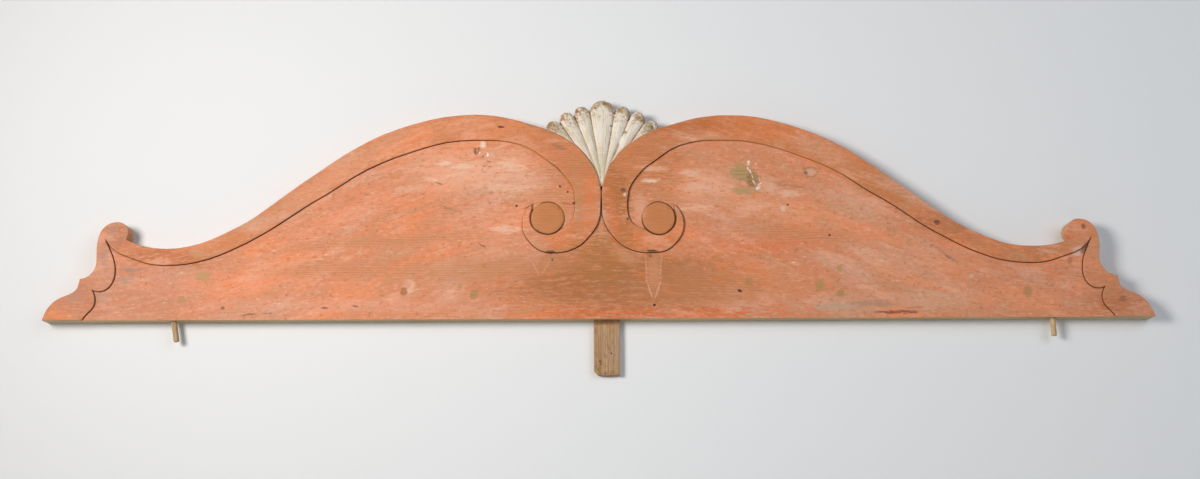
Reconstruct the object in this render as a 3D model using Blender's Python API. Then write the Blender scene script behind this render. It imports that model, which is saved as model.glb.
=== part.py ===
"""A carved and painted pine pediment, the loose top ornament of a piece of furniture.

Metres, Z up, the carved front faces -Y. The origin is on the board's underside, midway
along its length and through its thickness. Each half is drawn once, going out from the
middle line, and the left and right halves differ a little, as hand-cut ones do.
"""

import math
from collections import namedtuple

import bmesh
import bpy
from mathutils import Matrix, Vector

# Driving sizes, in metres
LEFT_REACH = 0.855
RIGHT_REACH = 0.845
LEFT_SCROLL_HEIGHT = 0.325
RIGHT_SCROLL_HEIGHT = 0.323
BOARD_THICKNESS = 0.030
GROUND_DEPTH = 0.004
TOUCH_LINE_WIDTH = 0.0012
EYE_RADIUS = 0.0265
EYE_CHAMFER = 0.0025
EYE_SINK = 0.0004
EYE_GROOVE = 0.0013
SHELL_HEIGHT = 0.3505
SHELL_FOOT_HEIGHT = 0.222
SHELL_FOOT_RADIUS = 0.0103
SIDE_RIB_SHORTER = 0.0055
NOTCH_SHORTER = 0.0205
SHELL_SET_BACK = 0.0025
SHELL_GROOVE_DEPTH = 0.0055
SHELL_RIM_DROP = 0.006
SHELL_ROLL = 0.016
TONGUE_WIDTH = 0.040
TONGUE_THICKNESS = 0.010
TONGUE_DROP = 0.0855
TONGUE_HOLD = 0.130
TONGUE_SHIFT = 0.0075
TONGUE_CHIP = 0.007
PIN_RADIUS = 0.0043
PIN_HOLD = 0.028
LEFT_PIN_INSET = 0.198
RIGHT_PIN_INSET = 0.153
LEFT_PIN_DROP = 0.0325
RIGHT_PIN_DROP = 0.028
PIN_END_CHAMFER = 0.0012
FIT_GAP = 0.0003
LOOSE_PIN_GAP = 0.0007

# Directions, in degrees
LEFT_PIN_LEAN = 11.0
RIGHT_PIN_LEAN = 1.0
CENTRE_RIB_ANGLE = 19.0
SIDE_RIB_ANGLE = 11.9
FACET_TURN = 4.0
SHARP_EDGE = 30.0

# How finely the shell and the round pieces are faceted
SIDE_RIBS = 3
RIB_COLUMNS = 6
SHELL_ROWS = 10
EYE_SIDES = 44
PIN_SIDES = 24

# The half drawing is in millimetres on a half that reaches 855 out and stands 325 high
DRAWN_REACH = 855.0
DRAWN_HEIGHT = 325.0
BEZIER_HANDLE = 0.37
TOUCH_LINE_ABOVE = 4.0
TOUCH_LINE_BELOW = 8.0
OVERRUN = 0.004

FRONT = -BOARD_THICKNESS / 2
BACK = BOARD_THICKNESS / 2
EYE_ROOT_DEPTH = GROUND_DEPTH * 2
LEFT_PIN_OUT = LEFT_REACH - LEFT_PIN_INSET
RIGHT_PIN_OUT = RIGHT_REACH - RIGHT_PIN_INSET

# out and up place the station, heading is the way the line runs there (0 is outwards,
# 90 is up), band is the width of the raised band beside it
Station = namedtuple("Station", "out up heading band", defaults=(0.0,))
Half = namedtuple("Half", "sign reach height scroll_shift knob")

# The foot's outer edge, from the toe on the underside to the step and its shelf
TOE = [
    Station(855, 0, 103),
    Station(826, 36.5, 157),
    Station(803.5, 54, 98),
    Station(801.5, 64.5, 93),
]
SHELF = Station(801.5, 64.5, 178)

# The round head of each foot, from the neck over the top to its corner with the band
LEFT_KNOB = [
    Station(778, 88, 93),
    Station(778.5, 116, 91),
    Station(771.5, 143, 125),
    Station(749, 154, 180),
    Station(731.2, 138.5, 268),
    Station(733.5, 125.2, 282),
]
RIGHT_KNOB = [
    Station(775.5, 90, 93),
    Station(777.1, 114, 92),
    Station(770.5, 143, 122),
    Station(747, 154, 180),
    Station(727, 135.5, 268),
    Station(733.1, 123, 305),
]

LEFT = Half(-1, LEFT_REACH, LEFT_SCROLL_HEIGHT, -3.0, LEFT_KNOB)
RIGHT = Half(1, RIGHT_REACH, RIGHT_SCROLL_HEIGHT, 3.5, RIGHT_KNOB)

# The scroll's outer edge, from the knob over the crest to where the two scrolls touch
KNOB_CORNER_HEADING = 204.0
BAND_TOP = [
    Station(671, 111.2, 180, 26),
    Station(560, 146.5, 152, 28.5),
    Station(495, 192.7, 143.5, 33),
    Station(426, 243, 144.5, 37.5),
    Station(318, 302, 160.5, 42),
    Station(198, 325, 180, 41),
    Station(120, 312, 196.5, 36),
    Station(50, 282, 214, 45.5),
    Station(22, 255, 232, 45.5),
    Station(1.0, 203, 262, 41.5),
]

# The scroll's outer edge below the touching line, then the end of the curl, which goes
# round under the eye to the tail's tip and sits further in or out on each half
CURL = [Station(1.5, 166, 277, 40), Station(20, 127, 311, 37)]
CURL_END = [
    Station(74, 103, 0),
    Station(106, 112, 41),
    Station(125.5, 148, 89),
    Station(111, 180, 138),
]
EYE_OUT = 86.5
EYE_UP = 158.0
BAND_MEETS_EYE = 228.0
BAND_LEAVES_EYE = 388.0

# The edge of the sunk ground beside the foot, and the band's lower edge up to its own stations
FOOT_INNER = [Station(794, 0, 112), Station(776.5, 27, 96), Station(782, 48, 62)]
CALF_INNER = [
    Station(782, 48, 214),
    Station(768, 45, 172),
    Station(748.5, 72, 92),
    Station(766.5, 127, 66),
]
BAND_START = [Station(766.5, 127, 238), Station(737, 101.5, 200)]

# The shell's ribs run out from a point below its blunt foot, right of the middle
SHELL_SHIFT = 0.002
GROOVE_SHARE_AT_FOOT = 0.25
ROW_CROWDING = 1.6


def direction(heading):
    return Vector((math.cos(math.radians(heading)), math.sin(math.radians(heading))))


def smooth_line(stations):
    """Points along cubic curves that leave and meet each station on its heading."""
    points = [Vector((stations[0].out, stations[0].up))]
    for start, end in zip(stations, stations[1:]):
        a = Vector((start.out, start.up))
        d = Vector((end.out, end.up))
        handle = BEZIER_HANDLE * (d - a).length
        b = a + handle * direction(start.heading)
        c = d - handle * direction(end.heading)
        turn = (b - a).angle(c - b, 0.0) + (c - b).angle(d - c, 0.0)
        steps = max(3, math.ceil(math.degrees(turn) / FACET_TURN))
        for step in range(1, steps + 1):
            t = step / steps
            points.append(
                (1 - t) ** 3 * a + 3 * t * (1 - t) ** 2 * b + 3 * t * t * (1 - t) * c + t**3 * d
            )
    return points


def inner_station(station):
    """The band's other edge beside a station, on the left of its heading."""
    side = direction(station.heading + 90)
    return Station(
        station.out + side.x * station.band, station.up + side.y * station.band, station.heading
    )


def shifted(half, station):
    """The lower curl and its eye sit a little further in or out on each half."""
    return station._replace(out=station.out + half.scroll_shift)


def placed(half, points):
    """Drawn points as x and z in metres on the half's own side."""
    across = half.sign * half.reach / DRAWN_REACH
    rise = half.height / DRAWN_HEIGHT
    return [Vector((point.x * across, point.y * rise)) for point in points]


def drawn_out(half, metres):
    return metres * DRAWN_REACH / half.reach


def arc(centre, radius, start, end):
    """Points round a circle between two angles, measured as headings are."""
    steps = math.ceil(abs(end - start) / FACET_TURN)
    turns = [start + (end - start) * step / steps for step in range(steps + 1)]
    return [centre + radius * direction(turn) for turn in turns]


def top_line(half):
    """The scroll's outer edge from the knob to the foot of the notch."""
    return smooth_line([half.knob[-1]._replace(heading=KNOB_CORNER_HEADING), *BAND_TOP])


def half_outline(half):
    """One half of the board's outline, from the toe to the foot of the notch."""
    head = smooth_line([SHELF, *half.knob])
    return placed(half, smooth_line(TOE)[:-1] + head[:-1] + top_line(half))


def eye_centre(half):
    return placed(half, [Vector((EYE_OUT + half.scroll_shift, EYE_UP))])[0]


def beside_eye(half):
    """The band's edge where it hugs the eye, with a knife-wide groove between them."""
    line = arc(Vector((0, 0)), EYE_RADIUS + EYE_GROOVE, BAND_MEETS_EYE, BAND_LEAVES_EYE)
    centre = eye_centre(half)
    return [Vector((centre.x + half.sign * point.x, centre.y + point.y)) for point in line]


def meeting_station(half):
    """Where the band's edge runs on to the groove round the eye."""
    radius = drawn_out(half, EYE_RADIUS + EYE_GROOVE)
    away = radius * direction(BAND_MEETS_EYE)
    meeting = Station(EYE_OUT + away.x, EYE_UP + away.y, BAND_MEETS_EYE + 90)
    return shifted(half, meeting)


def half_ground(half):
    """One half of the sunk ground's edge, from the underside round to the touching line."""
    below = [Vector((FOOT_INNER[0].out, -OVERRUN / half.height * DRAWN_HEIGHT))]
    foot = smooth_line(FOOT_INNER)[:-1] + smooth_line(CALF_INNER)[:-1]
    inner = [inner_station(station) for station in [*BAND_TOP, *CURL]]
    band = smooth_line([*BAND_START, *inner, meeting_station(half)])[:-1]
    under = smooth_line([*CURL, *(shifted(half, station) for station in CURL_END)])[::-1]
    line_out = drawn_out(half, TOUCH_LINE_WIDTH / 2)
    line_top = BAND_TOP[-1].up
    touch = [
        Vector((line_out, line_top - TOUCH_LINE_BELOW)),
        Vector((line_out, line_top + TOUCH_LINE_ABOVE)),
    ]
    return placed(half, below + foot + band) + beside_eye(half) + placed(half, under + touch)


def add_material(name, colour, roughness):
    material = bpy.data.materials.new(name)
    material.use_nodes = True
    shader = material.node_tree.nodes["Principled BSDF"]
    shader.inputs["Base Color"].default_value = (*colour, 1)
    shader.inputs["Roughness"].default_value = roughness
    shader.inputs["Metallic"].default_value = 0.0
    return material


def add_object(name, shape, material=None):
    """An object from a bmesh. With no material it is a cutter or a filler."""
    mesh = bpy.data.meshes.new(name)
    bmesh.ops.recalc_face_normals(shape, faces=shape.faces)
    shape.to_mesh(mesh)
    shape.free()
    obj = bpy.data.objects.new(name, mesh)
    bpy.context.scene.collection.objects.link(obj)
    if material:
        mesh.materials.append(material)
        mesh.shade_smooth()
        mesh.set_sharp_from_angle(angle=math.radians(SHARP_EDGE))
    else:
        obj.hide_render = True
        obj.display_type = "WIRE"
    return obj


def prism(outline, front, back):
    """A closed slab with this outline in x and z, from the front plane to the back plane."""
    shape = bmesh.new()
    face = shape.faces.new([shape.verts.new((point.x, front, point.y)) for point in outline])
    extruded = bmesh.ops.extrude_face_region(shape, geom=[face])["geom"]
    moved = [item for item in extruded if isinstance(item, bmesh.types.BMVert)]
    bmesh.ops.translate(shape, verts=moved, vec=(0, back - front, 0))
    return shape


def block(low, high):
    """A box between two corners."""
    shape = bmesh.new()
    bmesh.ops.create_cube(shape, size=1)
    size = Vector(high) - Vector(low)
    middle = (Vector(high) + Vector(low)) / 2
    bmesh.ops.scale(shape, vec=size, verts=shape.verts)
    bmesh.ops.translate(shape, vec=middle, verts=shape.verts)
    return shape


def boolean(obj, operation, other):
    modifier = obj.modifiers.new(f"{operation.lower()} {other.name}", "BOOLEAN")
    modifier.operation = operation
    modifier.solver = "EXACT"
    modifier.object = other


def both_halves(half_line):
    """A closed outline from the left half's line and the right half's, run back."""
    return half_line(LEFT) + half_line(RIGHT)[::-1]


def add_eye(half):
    """The volute's round eye, standing up from the sunk ground with a chamfered edge."""
    centre = eye_centre(half)
    face = FRONT + EYE_SINK
    root = FRONT + EYE_ROOT_DEPTH
    shape = bmesh.new()
    bmesh.ops.create_cone(
        shape,
        cap_ends=True,
        segments=EYE_SIDES,
        radius1=EYE_RADIUS - EYE_CHAMFER,
        radius2=EYE_RADIUS + EYE_CHAMFER * (root - face - GROUND_DEPTH) / GROUND_DEPTH,
        depth=root - face,
    )
    turn = Matrix.Rotation(math.radians(-90), 4, "X")
    place = Matrix.Translation((centre.x, (face + root) / 2, centre.y))
    bmesh.ops.transform(shape, matrix=place @ turn, verts=shape.verts)
    return add_object(f"eye_{'left' if half.sign < 0 else 'right'}", shape)


def pin_shape(radius, top, bottom, out, lean, chamfer=0.0):
    """A round peg through the board's underside at out, leaning about that point."""
    shape = bmesh.new()
    bmesh.ops.create_cone(
        shape, cap_ends=True, segments=PIN_SIDES, radius1=radius, radius2=radius, depth=top - bottom
    )
    bmesh.ops.translate(shape, vec=(0, 0, (top + bottom) / 2), verts=shape.verts)
    if chamfer:
        rim = [e for e in shape.edges if all(v.co.z < bottom + chamfer for v in e.verts)]
        bmesh.ops.bevel(
            shape, geom=rim, offset=chamfer, segments=2, profile=0.5, affect="EDGES", material=-1
        )
    turn = Matrix.Rotation(math.radians(-lean), 4, "Y")
    bmesh.ops.transform(shape, matrix=Matrix.Translation((out, 0, 0)) @ turn, verts=shape.verts)
    return shape


def add_board(material):
    """The scroll board: bands, knobs and feet at the front plane, the ground cut back."""
    board = add_object("scroll_board", prism(both_halves(half_outline), FRONT, BACK), material)
    ground = prism(both_halves(half_ground), FRONT - OVERRUN, FRONT + GROUND_DEPTH)
    boolean(board, "DIFFERENCE", add_object("ground_cut", ground))
    for half in (LEFT, RIGHT):
        boolean(board, "UNION", add_eye(half))
    housing = block(
        (TONGUE_SHIFT - TONGUE_WIDTH / 2 - FIT_GAP, BACK - TONGUE_THICKNESS - FIT_GAP, -OVERRUN),
        (TONGUE_SHIFT + TONGUE_WIDTH / 2 + FIT_GAP, BACK + OVERRUN, TONGUE_HOLD + FIT_GAP),
    )
    boolean(board, "DIFFERENCE", add_object("tongue_housing", housing))
    left_hole = pin_shape(
        PIN_RADIUS + LOOSE_PIN_GAP, PIN_HOLD + FIT_GAP, -OVERRUN, -LEFT_PIN_OUT, LEFT_PIN_LEAN
    )
    right_hole = pin_shape(
        PIN_RADIUS + FIT_GAP, PIN_HOLD + FIT_GAP, -OVERRUN, RIGHT_PIN_OUT, RIGHT_PIN_LEAN
    )
    boolean(board, "DIFFERENCE", add_object("left_pin_hole", left_hole))
    boolean(board, "DIFFERENCE", add_object("right_pin_hole", right_hole))


def rib_columns():
    """Each column's angle from upright, and its place across its rib from -1 to 1."""
    columns = []
    start = -CENTRE_RIB_ANGLE / 2 - SIDE_RIBS * SIDE_RIB_ANGLE
    for rib in range(-SIDE_RIBS, SIDE_RIBS + 1):
        width = CENTRE_RIB_ANGLE if rib == 0 else SIDE_RIB_ANGLE
        for step in range(RIB_COLUMNS + (rib == SIDE_RIBS)):
            across = -math.cos(math.pi * step / RIB_COLUMNS)
            columns.append((start + width * (across + 1) / 2, across, rib))
        start += width
    return columns


def shell_point(column, along, centre, longest):
    """A point on the carved fan. along runs from 0 at its foot to 1 at the rim."""
    angle, across, rib = column
    swell = math.sqrt(max(0.0, 1 - across * across))
    notch = longest - NOTCH_SHORTER
    crown = longest - (SIDE_RIB_SHORTER if rib else 0)
    reach = notch + swell * (crown - notch)
    radius = SHELL_FOOT_RADIUS + (reach - SHELL_FOOT_RADIUS) * along
    from_rim = reach - radius
    deepening = min(1.0, GROOVE_SHARE_AT_FOOT + radius / notch)
    groove = SHELL_GROOVE_DEPTH * (1 - swell) * deepening
    roll = max(0.0, 1 - from_rim / SHELL_ROLL)
    drop = SHELL_RIM_DROP * (1 - math.sqrt(1 - roll * roll))
    turn = math.radians(angle)
    return Vector(
        (
            centre.x + radius * math.sin(turn),
            FRONT + SHELL_SET_BACK + groove + drop,
            centre.y + radius * math.cos(turn),
        )
    )


def add_shell(material):
    """The fan of ribs that stands in the notch between the two scrolls."""
    centre = Vector((SHELL_SHIFT, SHELL_FOOT_HEIGHT - SHELL_FOOT_RADIUS))
    longest = SHELL_HEIGHT - centre.y
    columns = rib_columns()
    rows = [1 - (1 - row / SHELL_ROWS) ** ROW_CROWDING for row in range(SHELL_ROWS + 1)]
    shape = bmesh.new()
    grid = [
        [shape.verts.new(shell_point(column, along, centre, longest)) for along in rows]
        for column in columns
    ]
    for line, beside in zip(grid, grid[1:]):
        for row in range(SHELL_ROWS):
            shape.faces.new((line[row], line[row + 1], beside[row + 1], beside[row]))
    extruded = bmesh.ops.extrude_face_region(shape, geom=shape.faces[:])["geom"]
    for item in extruded:
        if isinstance(item, bmesh.types.BMVert):
            item.co.y = BACK
    shell = add_object("carved_shell", shape, material)
    for half in (LEFT, RIGHT):
        boolean(shell, "DIFFERENCE", add_clearance(half, longest))


def add_clearance(half, reach):
    """What the scroll takes from the shell's flank: the notch's line moved out by the gap."""
    line = [point for point in placed(half, top_line(half)) if abs(point.x) < reach]
    moved = []
    for before, point, after in zip([line[0], *line], line, [*line[1:], line[-1]]):
        along = (after - before).normalized()
        away = Vector((along.y, -along.x)) * half.sign
        moved.append(point + away * FIT_GAP)
    outline = [Vector((moved[0].x, 0)), *moved, Vector((moved[-1].x, 0))]
    side = "left" if half.sign < 0 else "right"
    return add_object(f"shell_flank_{side}", prism(outline, FRONT - OVERRUN, BACK + OVERRUN))


def add_tongue(material):
    """The batten let into the board's back, which drops behind the cornice."""
    low_corner = TONGUE_SHIFT - TONGUE_WIDTH / 2
    shape = block(
        (low_corner, BACK - TONGUE_THICKNESS, -TONGUE_DROP),
        (low_corner + TONGUE_WIDTH, BACK, TONGUE_HOLD),
    )
    corner = [
        edge
        for edge in shape.edges
        if all(v.co.x < TONGUE_SHIFT and v.co.z < 0 for v in edge.verts)
    ]
    bmesh.ops.bevel(
        shape, geom=corner, offset=TONGUE_CHIP, segments=1, profile=0.5, affect="EDGES", material=-1
    )
    add_object("centre_tongue", shape, material)


def add_pins(material):
    left = pin_shape(
        PIN_RADIUS, PIN_HOLD, -LEFT_PIN_DROP, -LEFT_PIN_OUT, LEFT_PIN_LEAN, PIN_END_CHAMFER
    )
    right = pin_shape(
        PIN_RADIUS, PIN_HOLD, -RIGHT_PIN_DROP, RIGHT_PIN_OUT, RIGHT_PIN_LEAN, PIN_END_CHAMFER
    )
    add_object("left_pin", left, material)
    add_object("right_pin", right, material)


def main():
    for obj in list(bpy.data.objects):
        bpy.data.objects.remove(obj, do_unlink=True)
    add_board(add_material("orange paint on pine", (0.62, 0.21, 0.10), 0.62))
    add_shell(add_material("worn white paint", (0.72, 0.68, 0.58), 0.65))
    add_tongue(add_material("bare aged pine", (0.38, 0.25, 0.15), 0.75))
    add_pins(add_material("turned dowel", (0.62, 0.47, 0.30), 0.6))


main()
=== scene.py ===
import math
from collections import namedtuple

import bmesh
import bpy
from mathutils import Matrix, Vector, noise


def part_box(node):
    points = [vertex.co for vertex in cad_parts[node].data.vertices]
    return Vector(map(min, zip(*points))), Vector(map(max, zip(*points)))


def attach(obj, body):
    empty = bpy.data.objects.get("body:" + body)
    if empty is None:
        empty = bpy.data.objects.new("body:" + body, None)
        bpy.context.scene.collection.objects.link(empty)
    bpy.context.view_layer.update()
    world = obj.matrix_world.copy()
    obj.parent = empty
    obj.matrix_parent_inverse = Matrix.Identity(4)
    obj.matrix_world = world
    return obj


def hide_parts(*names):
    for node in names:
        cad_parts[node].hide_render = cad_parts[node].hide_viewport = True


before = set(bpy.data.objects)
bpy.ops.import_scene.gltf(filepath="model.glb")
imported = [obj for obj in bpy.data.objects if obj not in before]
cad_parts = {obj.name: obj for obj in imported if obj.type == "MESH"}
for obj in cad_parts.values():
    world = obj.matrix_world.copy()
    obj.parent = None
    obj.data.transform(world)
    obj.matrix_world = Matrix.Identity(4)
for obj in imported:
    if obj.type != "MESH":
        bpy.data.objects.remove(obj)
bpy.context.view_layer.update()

# The board in metres, as the frame gives it, and the ground between its bands
BOARD_LOW, BOARD_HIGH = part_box("scroll_board")
FRONT = BOARD_LOW.y
BACK = BOARD_HIGH.y
GROUND_DEPTH = 0.004
GROUND = FRONT + GROUND_DEPTH

# The shell: where its ribs meet, how far they reach, and the foot drawn down into the notch
FAN_CENTRE = Vector((0.002, 0, 0.2117))
FAN_REACH = 0.1388
FAN_TIPS_START = 0.100
FAN_TIPS_LENGTH = 0.030
FAN_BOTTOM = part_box("carved_shell")[0].z
FOOT_HEIGHT = 0.018
FOOT_LENGTH = 0.015

# The batten's lower end
BATTEN_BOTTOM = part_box("centre_tongue")[0].z
BATTEN_END = 0.004

# The camera: the photograph is 1200 x 479, taken from a little below the board and looking up
PHOTO_WIDTH = 1200
PHOTO_HEIGHT = 479
SENSOR_WIDTH = 36.0
LENS = 44.81
CAMERA_PLACE = Vector((-0.0023, FRONT - 2.25, -0.378))
CAMERA_TILT = 12.55
CAMERA_ROLL = -0.23

# Arrises, and the knife line at the foot of every step
FRONT_ARRIS = 0.0018
BACK_ARRIS = 0.0011
KNIFE_LINE_WIDTH = 0.0012
KNIFE_LINE_DEPTH = 0.0010

# The board's unevenness: the cells its faces are cut into, the hollows and ripples of the
# plane, and the wander of the saw along the board and up it
UNEVEN_CELL = 0.014
HOLLOW_DEPTH = 0.00028
RIPPLE_DEPTH = 0.00010
WANDER_ALONG = 0.0004
WANDER_UP = 0.0005
LEVEL_FOOT = 0.01

# How fine the small pieces' skins are, and what their tools and wear left on them
FAN_SKIN = 0.0009
BATTEN_SKIN = 0.0013
DOWEL_SKIN = 0.0006
GOUGE_DEPTH = 0.00030
LUMP_HEIGHT = 0.00025
CHIP_DEPTH = 0.0022
RAISED_GRAIN = 0.00012
BATTEN_LUMP = 0.0003
RAGGED_END = 0.0007
KNIFE_FLATS = 0.00035

# Points closer than this are one, and angles in degrees: below which faces are flat, from
# which edges are sharp, and below which two edges make a tip
MERGE = 0.00002
FLAT_ANGLE = 0.7
SHARP_ANGLE = 38.0
TIP_ANGLE = 30.0

# The strokes of the brush rise to the middle of the board, in a hill as long as the board
BRUSH_HILL_HEIGHT = 0.10
BRUSH_HILL_HALF = 0.8

# The depth inside a mark at which its colour starts to show
MARK_EDGE = 0.35

# The wall stands just behind the board, and is clear to what is nearer to it than this
WALL_GAP = 0.0008
WALL_TOUCH = 0.006
WALL_HALF = 6.0
LIGHT_SPREAD = 140.0

# The sockets of a colour Mix node
MIX_FACTOR, MIX_UNDER, MIX_OVER, MIX_COLOUR = 0, 6, 7, 2


def camera_matrix():
    """Where the camera stands and how it is turned."""
    turn = Matrix.Rotation(math.radians(90 + CAMERA_TILT), 4, "X")
    roll = Matrix.Rotation(math.radians(CAMERA_ROLL), 4, "Z")
    return Matrix.Translation(CAMERA_PLACE) @ turn @ roll


def at_photo(across, down, depth=FRONT):
    """The point of the upright plane at this depth that the photograph shows at this pixel."""
    focal = LENS / SENSOR_WIDTH * PHOTO_WIDTH
    ray = Vector((across - PHOTO_WIDTH / 2, PHOTO_HEIGHT / 2 - down, -focal))
    ray = camera_matrix().to_3x3() @ ray
    return CAMERA_PLACE + ray * (depth - CAMERA_PLACE.y) / ray.y


def linear(code):
    """An sRGB hex colour as the linear colour that a shader takes."""
    shares = [int(code[start : start + 2], 16) / 255 for start in (0, 2, 4)]
    return (*(s / 12.92 if s <= 0.04045 else ((s + 0.055) / 1.055) ** 2.4 for s in shares), 1.0)


def add_node(tree, kind, inputs=None, output=0, **settings):
    """Adds a node with its settings, feeds each input a value or a socket, and gives one output."""
    node = tree.nodes.new("ShaderNode" + kind)
    for name, value in settings.items():
        setattr(node, name, value)
    for name, value in (inputs or {}).items():
        if isinstance(value, bpy.types.NodeSocket):
            tree.links.new(value, node.inputs[name])
        else:
            node.inputs[name].default_value = value
    return node.outputs[output]


def new_finish(name, roughness, specular):
    """A material with its shader's constant values set, and its tree and shader for the rest."""
    material = bpy.data.materials.new(name)
    material.use_nodes = True
    shader = material.node_tree.nodes["Principled BSDF"]
    shader.inputs["Roughness"].default_value = roughness
    shader.inputs["Specular IOR Level"].default_value = specular
    return material, material.node_tree, shader


# Each mark: where the photograph shows it, its half sizes in mm, its turn in degrees, its
# colour, how strong it is, how soft its edge is and what kind of edge it has
Mark = namedtuple("Mark", "name across down wide high turn colour strength soft edge")

# Each kind of edge: how far it wanders along the grain and across it, how long and how high
# its steps are, all in mm, how much scraping breaks it up, and where its noise starts
Edge = namedtuple("Edge", "along across long high broken start")
EDGES = {
    "crisp": Edge(1.0, 1.0, 5, 4, 0.0, 5),
    "rough": Edge(4.5, 3.0, 7, 4, 2.0, 5),
    "torn": Edge(10, 5, 11, 4, 3.6, 4),
    "streaky": Edge(45, 8, 55, 6, 4.0, 7),
    "cloudy": Edge(90, 16, 80, 11, 1.0, 6),
}

# Where the paint has worn so thin that the pine and its rings show through it
THIN_PAINT = [
    Mark("below the curls", 618, 280, 170, 46, 0, "AD6D3F", 0.95, 0.5, "cloudy"),
    Mark("between the curls", 604, 252, 42, 40, 0, "B0743F", 0.9, 0.4, "streaky"),
    Mark("right of the middle", 712, 285, 110, 26, 0, "C98559", 0.55, 0.6, "cloudy"),
    Mark("left of the middle", 470, 270, 130, 16, 3, "CE8F66", 0.6, 0.7, "cloudy"),
    Mark("left scroll, inner flank", 577, 170, 45, 75, 0, "CB8258", 0.55, 0.6, "streaky"),
    Mark("right scroll, inner flank", 640, 158, 60, 70, 30, "C47B4D", 0.75, 0.5, "streaky"),
    Mark("right scroll, shoulder", 614, 192, 18, 40, 0, "B06C38", 0.85, 0.5, "torn"),
    Mark("streak on the left field", 400, 240, 140, 9, 4, "CE8D64", 0.5, 0.7, "cloudy"),
    Mark("streak low on the left field", 350, 268, 130, 12, 2, "D08A5F", 0.5, 0.7, "cloudy"),
    Mark("streak on the right field", 790, 232, 90, 12, -5, "D58A5E", 0.5, 0.7, "cloudy"),
    Mark("streak far right", 960, 235, 40, 8, -20, "D0875C", 0.5, 0.7, "streaky"),
    Mark("crest of the right scroll", 690, 126, 70, 12, 4, "C46C34", 0.85, 0.6, "cloudy"),
    Mark("above the left eye", 545, 196, 42, 12, 0, "CE8E62", 0.6, 0.6, "streaky"),
    Mark("above the right eye", 664, 198, 24, 9, 0, "CE9064", 0.5, 0.6, "streaky"),
    Mark("left eye", 547.4, 217.6, 26.3, 26.3, 0, "C67F4B", 0.92, 0.02, "crisp"),
    Mark("right eye", 658.6, 217.6, 26.3, 26.3, 0, "C67D4C", 0.85, 0.02, "crisp"),
]

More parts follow.
